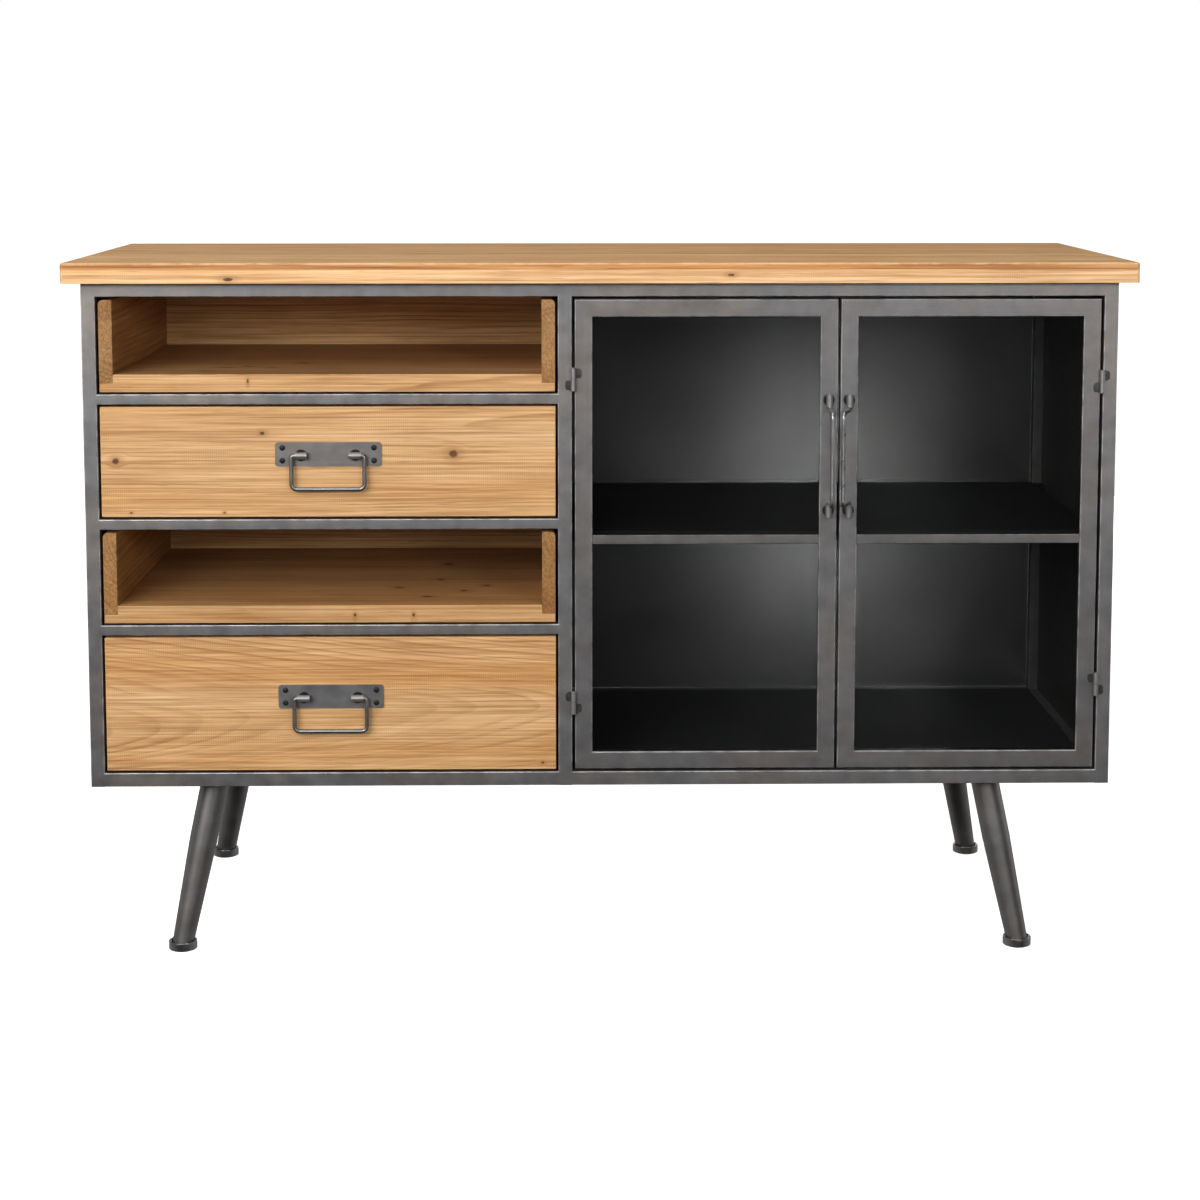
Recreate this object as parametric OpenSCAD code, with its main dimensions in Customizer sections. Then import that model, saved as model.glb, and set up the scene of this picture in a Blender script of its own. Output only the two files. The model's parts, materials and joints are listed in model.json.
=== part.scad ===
// Industrial sideboard: a welded square-tube steel cabinet on splayed round legs, with a laminated
// wooden top, two open pull-out trays, two drawers and a two-door glazed cupboard.
// +X is to the right, +Y is to the back, +Z is up. The origin is on the floor, at the middle of the
// whole object's box. Every size is in millimetres.

/* [Top] */
// Width of the wooden top
top_w = 1200; // [1150:10:1300]
// Depth of the wooden top
top_d = 450; // [445:1:455]
// Whole thickness of the wooden top
top_t = 23; // [20:1:30]
// Thickness of the boards glued over the core
board_t = 7.5; // [5:0.5:10]
// Number of boards across the depth of the top
board_n = 5; // [3:1:6]
// How far the top stands out at the front and the sides
overhang = 19; // [12:1:30]

/* [Frame] */
// Width of the square tube
tube = 16; // [14:1:18]
// Wall of every tube
wall = 1.2; // [1:0.1:2]
// Height of the cabinet between the legs and the top
body_h = 575; // [560:5:600]
// Depth of the cabinet
body_d = 418; // [410:1:424]
// Height of the three rails between the drawers
rail_h = 12; // [10:1:14]
// Thickness of the sheet steel panels
sheet = 1.2; // [1:0.1:2]
// Middle of the post between the drawers and the cupboard
mid_post_x = -41; // [-60:1:-20]

/* [Drawers and trays] */
// Height of each tray opening
tray_bay_h = 109; // [100:1:115]
// Height of the upper drawer's opening
drawer_bay_h = 130; // [120:1:140]
// Gap round each drawer front and tray
gap = 2.5; // [2:0.5:4]
// Depth of the drawers and trays
box_d = 392; // [360:1:396]
// Thickness of a drawer front
front_t = 18; // [15:1:20]
// Thickness of tray sides and backs
tray_t = 15; // [12:1:18]
// Thickness of a tray bottom
tray_bottom_t = 20; // [16:1:22]
// Thickness of drawer sides and backs
side_t = 14; // [10:1:16]

/* [Doors] */
// Width of the door frame's face
stile_w = 20; // [18:1:24]
// Depth of the door frame
door_t = 16; // [16:1:18]
// Gap round each door
door_gap = 3; // [2.5:0.1:4]
// Thickness of the glass
glass_t = 3; // [3:0.5:4]
// Height of the middle of the glazing bar above the floor
muntin_z = 482.5; // [460:0.5:520]
// How far the line where the doors meet is right of the cupboard's middle
meet_shift = 1.5; // [0:0.5:3]

/* [Handles] */
// Diameter of the handle rod
rod_d = 5; // [4:0.5:6]
// Distance from the pivot to the grip of a door bail
door_reach = 34.5; // [30:0.5:40]
// Distance from the pivot to the grip of a drawer bail
drawer_reach = 38; // [32:0.5:44]
// How far a bail's pivot stands out from its face
pivot_out = 8; // [7:0.5:10]
// Angle that the right door's bail leans inwards at rest
lean = 18; // [0:1:25]

/* [Legs] */
// Height of the cabinet's underside
leg_h = 199; // [180:1:240]
// Diameter of the upper part of a leg
leg_d = 32; // [28:1:36]
// Diameter of a leg at the floor
leg_tip_d = 24; // [20:1:26]
// Distance of a leg's tip from the middle, across the width
tip_x = 485.5; // [470:0.5:500]
// Distance of a leg's tip from the cabinet's middle, across the depth
tip_y = 183.5; // [175:0.5:190]
// How far a leg leans outwards over its height, across the width
splay_x = 39; // [20:1:50]
// How far a leg leans outwards over its height, across the depth
splay_y = 32; // [15:1:40]

/* [Hidden] */
$fn = 48;

// Colours
wood = [0.80, 0.60, 0.36];
dark_wood = [0.66, 0.47, 0.26];
steel = [0.38, 0.38, 0.39];
dark_steel = [0.27, 0.27, 0.28];
zinc = [0.62, 0.62, 0.60];
rubber = [0.10, 0.10, 0.10];
pane = [0.75, 0.82, 0.85, 0.35];

// The cabinet face stands so that the box from the door grips to the back of the top is centred
rear_reach = top_d - overhang;
grip_out = pivot_out + door_reach + rod_d / 2;
face_y = (grip_out - rear_reach) / 2;
rear_y = face_y + body_d;
mid_y = face_y + body_d / 2;
outer_x = top_w / 2 - overhang;
inner_x = outer_x - tube;
body_top = leg_h + body_h;
deck_z = leg_h + tube;
head_z = body_top - tube;

// Hairline that keeps neighbouring solids of one node apart: a glue line or a ground-down weld
hair = 0.1;

// Left bay, between the left post and the middle post
bay_l = -inner_x;
bay_r = mid_post_x - tube / 2;
bay_x = (bay_l + bay_r) / 2;
bay_w = bay_r - bay_l;
tray_upper_z = head_z - tray_bay_h;
drawer_upper_z = tray_upper_z - rail_h - drawer_bay_h;
tray_lower_z = drawer_upper_z - rail_h - tray_bay_h;
drawer_lower_bay_h = tray_lower_z - rail_h - deck_z;
levels = [tray_upper_z, drawer_upper_z, tray_lower_z, deck_z];
rail_levels = [tray_upper_z - rail_h, drawer_upper_z - rail_h, tray_lower_z - rail_h];

// Right bay, between the middle post and the right post
cup_l = mid_post_x + tube / 2;
cup_r = inner_x;
meet_x = (cup_l + cup_r) / 2 + meet_shift;
door_z = deck_z + door_gap;
door_h = head_z - deck_z - 2 * door_gap;

// Drawer, tray and runner fits
lift = 2;
recess = 1;
box_gap = 3;
slot_w = bay_w - 2 * gap;
box_w = bay_w - 2 * box_gap;
runner_w = 18;
runner_t = 1.5;
runner_drop = 14;
runner_play = 0.5;
stop_in = 4;
stop_h = 14;
rebate = 10;
drawer_bottom_t = 6;
drawer_bottom_z = 6;
drawer_side_h = [100, 124];

// Hinges
knuckle_d = 6;
knuckle_h = 13;
knuckle_gap = 0.4;
hinge_out = 3.4;
pin_d = 3;
fit = 0.05;
tab_w = 9;
tab_t = 1.6;
// Height of each hinge, and 1 where the door's knuckle is the upper one or -1 where it is the lower one
hinges_left = [[296, -1], [665, 1]];
hinges_right = [[315, 1], [662, -1]];
hinge_x_left = cup_l + door_gap / 2;
hinge_x_right = cup_r - door_gap / 2;

// Handle hardware
barrel_d = 8;
barrel_l = 14;
boss_d = 13;
boss_t = 2;
neck_d = 6;
bend = 3;
grip_bend = 6;
bail_play = 0.5;
pull_w = 119;
pull_h = 27;
pull_t = 2;
pull_barrel_x = 30.5;
pull_arm_x = pull_barrel_x + barrel_l / 2 + bail_play + bend;
pull_rise = 9;
screw_x = 51.5;
screw_z = 7.3;
screw_d = 6.6;
door_bail_z = 578.5;
door_pivot_x = 11.4;
door_barrel_z = 62.75;
door_arm_z = door_barrel_z - barrel_l / 2 - bail_play - bend;
pin_in = 9.5;

// Legs and feet
leg_lean = atan2(norm([splay_x, splay_y]), leg_h);
leg_straight = 78;
leg_wall = 1.5;
// Turn of a leg about its own axis: where its tube's seam lies
seam_turn = 45;
plate_w = 60;
plate_t = 4;
bolt_d = 6;
bolt_at = 22;
cup_d = 32.5;
cup_h = 10.5;
cup_wall = 2.5;
cup_floor = 2;
pad_t = 2;
tip_z = pad_t + cup_floor;
cup_level = 7;

// --- helpers -------------------------------------------------------------------------------------

// A box from its lowest corner to its highest one
module span(low, high) {
    translate(low) cube(high - low);
}

// A square tube along X, Y or Z, open at both ends
module tube_along(axis, low, high) {
    w = [for (i = [0:2]) i == axis ? -1 : wall];
    difference() {
        span(low, high);
        span(low + w, high - w);
    }
}

// A hollow post whose lower end is closed
module post(x, y) {
    difference() {
        span([x, y, leg_h], [x + tube, y + tube, body_top]);
        span([x + wall, y + wall, leg_h + wall], [x + tube - wall, y + tube - wall, body_top + 1]);
    }
}

// A rod in the XZ plane: pins on the Z axis, arms at z = +-arm out to a grip at x = reach
module arms_and_grip(reach, arm) {
    translate([bend, 0, arm]) rotate([0, 90, 0]) cylinder(d = rod_d, h = reach - bend - grip_bend);
    translate([reach - grip_bend, 0, arm - grip_bend]) rotate([90, 0, 0])
        rotate_extrude(angle = 90) translate([grip_bend, 0]) circle(d = rod_d);
    translate([reach, 0, 0]) cylinder(d = rod_d, h = arm - grip_bend);
}

// A bail whose pins point away from each other
module bail_outward(reach, arm, pin) {
    for (s = [0, 1]) mirror([0, 0, s]) {
        translate([0, 0, arm + bend]) cylinder(d = rod_d, h = pin);
        translate([bend, 0, arm + bend]) rotate([90, 0, 0]) rotate([0, 0, 180])
            rotate_extrude(angle = 90) translate([bend, 0]) circle(d = rod_d);
        arms_and_grip(reach, arm);
    }
}

// A bail whose pins point towards each other
module bail_inward(reach, arm, pin) {
    for (s = [0, 1]) mirror([0, 0, s]) {
        translate([0, 0, arm - bend - pin]) cylinder(d = rod_d, h = pin);
        translate([bend, 0, arm - bend]) rotate([90, 0, 0]) rotate([0, 0, 90])
            rotate_extrude(angle = 90) translate([bend, 0]) circle(d = rod_d);
        arms_and_grip(reach, arm);
    }
}

// A round boss on a face at y = 0 that carries a barrel along Z, pivot_out in front of the face
module bail_post(out) {
    difference() {
        union() {
            rotate([90, 0, 0]) cylinder(d = boss_d, h = boss_t);
            rotate([90, 0, 0]) cylinder(d = neck_d, h = out);
            translate([0, -out, -barrel_l / 2]) cylinder(d = barrel_d, h = barrel_l);
        }
        translate([0, -out, -barrel_l]) cylinder(d = rod_d + 2 * fit, h = 2 * barrel_l);
    }
}

// --- top -----------------------------------------------------------------------------------------

module top_boards() {
    depth = top_d / board_n;
    for (i = [0:board_n - 1]) {
        y = face_y - overhang + i * depth;
        color(wood) span([-top_w / 2, y, body_top + top_t - board_t],
            [top_w / 2, y + depth - (i < board_n - 1 ? hair : 0), body_top + top_t]);
    }
}

tab_l = 34;
tab_hole = 4.2;
tab_screw_l = 12.5;
tab_x = [bay_l, bay_r - tab_l, cup_l, cup_r - tab_l];
tab_y = [face_y + tube, rear_y - tube - tab_l];

module at_tabs() {
    for (x = tab_x, y = tab_y) translate([x, y, body_top - runner_t]) children();
}

module top_core() {
    color(wood) difference() {
        span([-top_w / 2, face_y - overhang, body_top],
            [top_w / 2, face_y + rear_reach, body_top + top_t - board_t]);
        at_tabs() translate([tab_l / 2, tab_l / 2, 0]) cylinder(d = tab_hole, h = tab_screw_l + 1);
    }
}

module top_tabs() {
    color(dark_steel) at_tabs() difference() {
        cube([tab_l, tab_l, runner_t]);
        translate([tab_l / 2, tab_l / 2, -1]) cylinder(d = tab_hole, h = 4);
    }
}

module top_screws() {
    color(zinc) at_tabs() translate([tab_l / 2, tab_l / 2, 0]) {
        translate([0, 0, -2.4]) cylinder(d = 8, h = 2.4);
        cylinder(d = tab_hole - 2 * fit, h = tab_screw_l);
    }
}

// --- frame ---------------------------------------------------------------------------------------

post_x = [-outer_x, mid_post_x - tube / 2, outer_x - tube];
bays = [[bay_l, bay_r], [cup_l, cup_r]];

module front_posts() {
    color(steel) for (x = post_x) post(x, face_y);
}

module rear_posts() {
    color(steel) for (x = post_x) post(x, rear_y - tube);
}

module cross_rails(y) {
    for (bay = bays, z = [leg_h, head_z]) {
        color(steel) tube_along(0, [bay[0], y, z], [bay[1], y + tube, z + tube]);
    }
}

module front_rails() {
    cross_rails(face_y);
}

module rear_rails() {
    cross_rails(rear_y - tube);
}

module side_rails() {
    for (x = post_x, z = [leg_h, head_z]) {
        color(steel) tube_along(1, [x, face_y + tube, z], [x + tube, rear_y - tube, z + tube]);
    }
}

module bay_rails() {
    for (z = rail_levels) {
        color(steel) tube_along(0, [bay_l, face_y, z], [bay_r, face_y + tube, z + rail_h]);
    }
}

panel_in = 3;

module side_panels() {
    color(steel) for (s = [-1, 1]) {
        x = s * (outer_x - panel_in) - (s > 0 ? sheet : 0);
        span([x, face_y + tube, deck_z], [x + sheet, rear_y - tube, head_z]);
    }
}

module back_panel() {
    for (bay = bays) {
        color(dark_steel) span([bay[0], rear_y - sheet, deck_z], [bay[1], rear_y, head_z]);
    }
}

module floor_panel() {
    for (bay = bays) {
        color(dark_steel) span([bay[0], face_y + tube, deck_z - sheet], [bay[1], rear_y - tube, deck_z]);
    }
}

module partition_panel() {
    color(dark_steel) span([mid_post_x - sheet / 2, face_y + tube, deck_z],
        [mid_post_x + sheet / 2, rear_y - tube, head_z]);
}

// --- cupboard shelf ------------------------------------------------------------------------------

shelf_z = 488.5;
shelf_in = 24;
shelf_lip = 12;
shelf_side = 1;
bracket_l = 30;
bracket_t = 2;
bracket_drop = 16;
bracket_reach = 14;

module shelf() {
    y = face_y + shelf_in;
    color(dark_steel) {
        span([cup_l + shelf_side, y, shelf_z - sheet], [cup_r - shelf_side, rear_y - tube, shelf_z]);
        span([cup_l + shelf_side, y, shelf_z - shelf_lip],
            [cup_r - shelf_side, y + sheet, shelf_z - sheet]);
    }
}

module shelf_brackets() {
    z = shelf_z - sheet;
    l = mid_post_x + sheet / 2;
    r = outer_x - panel_in - sheet;
    for (y = [face_y + shelf_in + sheet + 7, rear_y - tube - bracket_l]) {
        end = y + bracket_l;
        color(steel) {
            span([l, y, z - bracket_t], [cup_l + bracket_reach, end, z]);
            span([l, y, z - bracket_drop], [l + bracket_t, end, z - bracket_t]);
            span([cup_r - bracket_reach, y, z - bracket_t], [r, end, z]);
            span([r - bracket_t, y, z - bracket_drop], [r, end, z - bracket_t]);
        }
    }
}

// --- runners under the trays and drawers ---------------------------------------------------------

// An angle whose flange carries the box; its web is welded to the posts, with a stop at the rear
// Over the floor panel it is a plain strip
module runner(z) {
    y = face_y + tube;
    end_y = rear_y - sheet;
    top = z + lift - runner_play;
    stop_y = face_y + recess + box_d + runner_play;
    span([bay_l, y, top - runner_t], [bay_l + runner_w, end_y, top]);
    if (z > deck_z) span([bay_l, y, top - runner_drop], [bay_l + runner_t, end_y, top - runner_t]);
    span([bay_l + stop_in, stop_y, top], [bay_l + runner_w, stop_y + runner_t, top + stop_h]);
}

module runner_angles() {
    for (z = levels) {
        color(dark_steel) runner(z);
        color(dark_steel) translate([2 * bay_x, 0, 0]) mirror([1, 0, 0]) runner(z);
    }
}

// --- hinges --------------------------------------------------------------------------------------

// One knuckle on the hinge axis with a weld tab on the side that side points to
module knuckle(side, low) {
    difference() {
        union() {
            translate([0, 0, low]) cylinder(d = knuckle_d, h = knuckle_h);
            translate([0, hinge_out - tab_t, low + 1]) mirror([side < 0 ? 1 : 0, 0, 0])
                cube([tab_w, tab_t, knuckle_h - 2]);
        }
        translate([0, 0, low - 1]) cylinder(d = pin_d + 2 * fit, h = knuckle_h + 2);
    }
}

module at_hinges(left) {
    for (h = left ? hinges_left : hinges_right) {
        translate([left ? hinge_x_left : hinge_x_right, face_y - hinge_out, h[0]])
            mirror([0, 0, h[1] < 0 ? 1 : 0]) children();
    }
}

module post_knuckles() {
    color(dark_steel) at_hinges(true) knuckle(-1, -knuckle_h);
    color(dark_steel) at_hinges(false) knuckle(1, -knuckle_h);
}

module hinge_pins() {
    for (left = [true, false]) {
        color(zinc) at_hinges(left) translate([0, 0, -knuckle_h])
            cylinder(d = pin_d, h = 2 * knuckle_h - 1);
    }
}

module door_knuckles(left) {
    color(dark_steel) at_hinges(left) knuckle(left ? 1 : -1, knuckle_gap);
}

catch_w = 34;
catch_x = 28;
catch_t = 12;
catch_drop = 14;
catch_play = 0.5;

// Each catch hangs on the back of the top rail, just behind a closed door
module magnet_catches() {
    y = face_y + tube;
    for (x = [meet_x - catch_x, meet_x + catch_x]) {
        color(rubber) {
            span([x - catch_w / 2, y, head_z], [x + catch_w / 2, y + catch_t, head_z + 10]);
            span([x - catch_w / 2, y + catch_play, head_z - catch_drop],
                [x + catch_w / 2, y + catch_t, head_z]);
        }
    }
}

// --- legs ----------------------------------------------------------------------------------------

// Leg places, counted from the cabinet's middle
corners = [[-1, -1], [1, -1], [-1, 1], [1, 1]];

// Middle of a leg at a height above the floor
function leg_at(c, z) = [
    c[0] * (tip_x - splay_x * z / leg_h),
    mid_y + c[1] * (tip_y - splay_y * z / leg_h),
    z
];

module at_bolts() {
    for (c = corners, i = [-1, 1], j = [-1, 1]) {
        translate(leg_at(c, leg_h) + [i * bolt_at, j * bolt_at, 0]) children();
    }
}

module leg_rails() {
    half = plate_w / 2;
    low_z = leg_h + plate_t;
    for (s = [-1, 1]) {
        x = s * (tip_x - splay_x);
        color(dark_steel) difference() {
            tube_along(1, [x - half, face_y + tube, low_z], [x + half, rear_y - tube, deck_z - sheet]);
            at_bolts() translate([0, 0, -1]) cylinder(d = bolt_d + 2 * fit, h = plate_t + wall + 2);
        }
    }
}

module leg_plates() {
    half = plate_w / 2;
    color(steel) difference() {
        for (c = corners) translate(leg_at(c, leg_h)) span([-half, -half, 0], [half, half, plate_t]);
        at_bolts() translate([0, 0, -1]) cylinder(d = bolt_d + 2 * fit, h = plate_t + 2);
    }
}

module leg_bolts() {
    color(zinc) at_bolts() {
        translate([0, 0, -3.5]) cylinder(d = 11, h = 3.5, $fn = 6);
        cylinder(d = bolt_d, h = plate_t + wall + 5);
    }
}

// A round bar that tapers towards its tip, along +Z from the tip
module taper(shrink) {
    long = leg_h / cos(leg_lean);
    r = leg_d / 2 - shrink;
    tip_r = leg_tip_d / 2 - shrink;
    cylinder(r1 = tip_r, r2 = r, h = long - leg_straight);
    translate([0, 0, long - leg_straight]) cylinder(r = r, h = leg_straight + 20);
}

module legs() {
    for (c = corners) {
        color(steel) intersection() {
            translate(leg_at(c, 0))
                rotate([0, leg_lean, atan2(-c[1] * splay_y, -c[0] * splay_x)])
                    rotate([0, 0, seam_turn]) difference() {
                        taper(0);
                        taper(leg_wall);
                    }
            translate(leg_at(c, tip_z) - [60, 60, 0]) cube([120, 120, leg_h - tip_z]);
        }
    }
}

module foot_cups() {
    for (c = corners) {
        color(steel) translate([leg_at(c, cup_level)[0], leg_at(c, cup_level)[1], 0]) difference() {
            translate([0, 0, 1]) cylinder(d = cup_d, h = cup_h - 1);
            translate([0, 0, tip_z]) cylinder(d = cup_d - 2 * cup_wall, h = cup_h);
            translate([0, 0, -1]) cylinder(d = cup_d - 2 * cup_wall, h = pad_t + 1);
        }
    }
}

module foot_pads() {
    for (c = corners) {
        color(rubber) translate([leg_at(c, cup_level)[0], leg_at(c, cup_level)[1], 0])
            cylinder(d = cup_d - 2 * cup_wall - 0.2, h = pad_t);
    }
}

// --- trays ---------------------------------------------------------------------------------------

tray_side_top = tray_bay_h - 3.5;
tray_round = 5;

module tray_bottom(z) {
    y = face_y + recess;
    l = bay_x - box_w / 2;
    r = bay_x + box_w / 2;
    top = z + lift + tray_bottom_t;
    color(wood) difference() {
        span([l, y, z + lift], [r, y + box_d, top]);
        for (x = [l - 1, r - tray_t]) {
            span([x, y - 1, top - rebate], [x + tray_t + 1, y + box_d + 1, top + 1]);
        }
    }
}

// Upright board whose upper outer edge is rounded; it stands in the bottom's rebate
module tray_side(h) {
    rotate([90, 0, 0]) linear_extrude(box_d) {
        square([tray_t, h - tray_round]);
        translate([tray_round, h - tray_round]) square([tray_t - tray_round, tray_round]);
        translate([tray_round, h - tray_round]) intersection() {
            circle(tray_round);
            translate([-tray_round, 0]) square(tray_round);
        }
    }
}

module tray_sides(z) {
    low = z + lift + tray_bottom_t - rebate;
    h = z + tray_side_top - low;
    for (s = [0, 1]) {
        color(dark_wood) translate([bay_x, face_y + recess + box_d, low]) mirror([s, 0, 0])
            translate([-box_w / 2, 0, 0]) tray_side(h);
    }
}

module tray_back(z) {
    half = box_w / 2 - tray_t;
    y = face_y + recess + box_d;
    color(dark_wood) span([bay_x - half, y - tray_t, z + lift + tray_bottom_t],
        [bay_x + half, y, z + tray_side_top]);
}

// --- drawers -------------------------------------------------------------------------------------

// The middle of a drawer's pull plate, on the drawer front
module at_pull(z, bay) {
    translate([bay_x, face_y + recess, z + bay / 2 + pull_rise]) children();
}

module at_screws(z, bay) {
    at_pull(z, bay) for (i = [-1, 1], j = [-1, 1]) translate([i * screw_x, 0, j * screw_z]) children();
}

module drawer_front(z, bay) {
    half = slot_w / 2;
    y = face_y + recess;
    color(wood) difference() {
        span([bay_x - half, y, z + gap], [bay_x + half, y + front_t, z + bay - gap]);
        at_screws(z, bay) translate([0, -pull_t - 1, 0]) rotate([-90, 0, 0]) cylinder(d = 3.1, h = 18);
    }
}

module drawer_sides(z, h) {
    low = z + lift;
    half = box_w / 2;
    y = face_y + recess + front_t;
    end_y = face_y + recess + box_d;
    color(dark_wood) for (x = [bay_x - half, bay_x + half - side_t]) {
        span([x, y, low], [x + side_t, end_y, low + h]);
    }
    inner = half - side_t - hair;
    color(dark_wood) span([bay_x - inner, end_y - side_t, low + drawer_bottom_z + drawer_bottom_t],
        [bay_x + inner, end_y, low + h]);
}

module drawer_bottom(z) {
    low = z + lift + drawer_bottom_z;
    half = box_w / 2 - side_t;
    color(dark_wood) span([bay_x - half, face_y + recess + front_t, low],
        [bay_x + half, face_y + recess + box_d, low + drawer_bottom_t]);
}

module pull_plate(z, bay) {
    r = 3;
    color(steel) difference() {
        at_pull(z, bay) rotate([90, 0, 0]) linear_extrude(pull_t) {
            square([pull_w - 2 * r, pull_h], center = true);
            square([pull_w, pull_h - 2 * r], center = true);
            for (i = [-1, 1], j = [-1, 1]) translate([i * (pull_w / 2 - r), j * (pull_h / 2 - r)]) circle(r);
        }
        at_screws(z, bay) translate([0, 1, 0]) rotate([90, 0, 0]) cylinder(d = 3.1, h = pull_t + 2);
    }
}

module pull_posts(z, bay) {
    for (s = [-1, 1]) {
        color(dark_steel) at_pull(z, bay) translate([s * pull_barrel_x, -pull_t, -1])
            rotate([0, 90, 0]) bail_post(pivot_out - pull_t);
    }
}

module pull_screws(z, bay) {
    color(dark_steel) at_screws(z, bay) translate([0, -pull_t, 0]) {
        rotate([90, 0, 0]) cylinder(d1 = screw_d, d2 = screw_d - 2, h = 1.4);
        rotate([-90, 0, 0]) cylinder(d = 3, h = 16);
    }
}

// The bail hangs from its barrels: its own Z axis lies along X and its reach points down
module drawer_bail(z, bay) {
    color(steel) at_pull(z, bay) translate([0, -pivot_out, -1])
        rotate([0, 90, 0]) bail_inward(drawer_reach, pull_arm_x, pin_in);
}

// --- doors ---------------------------------------------------------------------------------------

glass_in = 4;
rebate_w = 6;
glass_play = 0.5;
muntin_w = 10;
bead_w = 5;
bead_in = 0.5;

// Section of the door frame: x runs inwards from its outer edge, y back from its face
module stile_section() {
    difference() {
        polygon([[0, 0], [stile_w, 0], [stile_w, glass_in], [stile_w - rebate_w, glass_in],
            [stile_w - rebate_w, door_t], [0, door_t]]);
        translate([wall, wall]) square([stile_w - rebate_w - 2 * wall, door_t - 2 * wall]);
    }
}

// An upright of the frame with both ends mitred, standing on z = 0
module mitred(long) {
    intersection() {
        linear_extrude(long) stile_section();
        translate([0, door_t + 1, 0]) rotate([90, 0, 0]) linear_extrude(door_t + 2)
            polygon([[0, hair], [stile_w, stile_w + hair],
                [stile_w, long - stile_w - hair], [0, long - hair]]);
    }
}

function door_x(left) = left ? cup_l + door_gap : meet_x + door_gap / 2;
function door_w(left) = (left ? meet_x - door_gap / 2 : cup_r - door_gap) - door_x(left);

// The lower left corner of a door's face
module at_door(left) {
    translate([door_x(left), face_y, door_z]) children();
}

module door_frame(left) {
    color(steel) at_door(left) {
        mitred(door_h);
        translate([door_w(left), 0, 0]) mirror([1, 0, 0]) mitred(door_h);
        mirror([1, 0, 0]) rotate([0, -90, 0]) mitred(door_w(left));
        translate([0, 0, door_h]) rotate([0, 90, 0]) mitred(door_w(left));
    }
}

module door_muntin(left) {
    z = muntin_z - door_z;
    color(steel) at_door(left)
        span([stile_w, 1, z - muntin_w / 2], [door_w(left) - stile_w, glass_in, z + muntin_w / 2]);
}

module door_glass(left) {
    in = stile_w - rebate_w + glass_play;
    color(pane) at_door(left) span([in, glass_in, in], [door_w(left) - in, glass_in + glass_t, door_h - in]);
}

module door_beads(left) {
    in = stile_w - rebate_w;
    end_in = in + bead_w + hair;
    low_y = glass_in + glass_t;
    high_y = door_t - bead_in;
    w = door_w(left);
    color(dark_steel) at_door(left) {
        for (x = [in, w - in - bead_w]) span([x, low_y, in], [x + bead_w, high_y, door_h - in]);
        for (z = [in, door_h - in - bead_w]) span([end_in, low_y, z], [w - end_in, high_y, z + bead_w]);
    }
}

// Where a door's bail pivots, on the door's face
module at_bail(left) {
    translate([meet_x + (left ? -1 : 1) * door_pivot_x, face_y, door_bail_z]) children();
}

module door_bail_posts(left) {
    for (s = [-1, 1]) {
        color(dark_steel) at_bail(left) translate([0, 0, s * door_barrel_z]) bail_post(pivot_out);
    }
}

module door_bail(left) {
    turn = left ? -90 : -90 - lean;
    color(steel) at_bail(left) translate([0, -pivot_out, 0])
        rotate([0, 0, turn]) bail_outward(door_reach, door_arm_z, pin_in);
}

// --- nodes ---------------------------------------------------------------------------------------

top_boards();
top_core();
top_tabs();
top_screws();
front_posts();
rear_posts();
front_rails();
rear_rails();
side_rails();
bay_rails();
side_panels();
back_panel();
floor_panel();
partition_panel();
shelf();
shelf_brackets();
runner_angles();
post_knuckles();
hinge_pins();
magnet_catches();
leg_rails();
leg_plates();
leg_bolts();
legs();
foot_cups();
foot_pads();
tray_bottom(tray_upper_z);  // tray_upper_bottom
tray_sides(tray_upper_z);  // tray_upper_sides
tray_back(tray_upper_z);  // tray_upper_back
tray_bottom(tray_lower_z);  // tray_lower_bottom
tray_sides(tray_lower_z);  // tray_lower_sides
tray_back(tray_lower_z);  // tray_lower_back
drawer_front(drawer_upper_z, drawer_bay_h);  // drawer_upper_front
drawer_sides(drawer_upper_z, drawer_side_h[0]);  // drawer_upper_sides
drawer_bottom(drawer_upper_z);  // drawer_upper_bottom
pull_plate(drawer_upper_z, drawer_bay_h);  // drawer_upper_pull_plate
pull_posts(drawer_upper_z, drawer_bay_h);  // drawer_upper_pull_posts
pull_screws(drawer_upper_z, drawer_bay_h);  // drawer_upper_pull_screws
drawer_bail(drawer_upper_z, drawer_bay_h);  // drawer_upper_bail
drawer_front(deck_z, drawer_lower_bay_h);  // drawer_lower_front
drawer_sides(deck_z, drawer_side_h[1]);  // drawer_lower_sides
drawer_bottom(deck_z);  // drawer_lower_bottom
pull_plate(deck_z, drawer_lower_bay_h);  // drawer_lower_pull_plate
pull_posts(deck_z, drawer_lower_bay_h);  // drawer_lower_pull_posts
pull_screws(deck_z, drawer_lower_bay_h);  // drawer_lower_pull_screws
drawer_bail(deck_z, drawer_lower_bay_h);  // drawer_lower_bail
door_frame(true);  // door_left_frame
door_muntin(true);  // door_left_muntin
door_glass(true);  // door_left_glass
door_beads(true);  // door_left_beads
door_knuckles(true);  // door_left_knuckles
door_bail_posts(true);  // door_left_bail_posts
door_bail(true);  // door_left_bail
door_frame(false);  // door_right_frame
door_muntin(false);  // door_right_muntin
door_glass(false);  // door_right_glass
door_beads(false);  // door_right_beads
door_knuckles(false);  // door_right_knuckles
door_bail_posts(false);  // door_right_bail_posts
door_bail(false);  // door_right_bail
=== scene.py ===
import json
import math
import random

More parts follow.
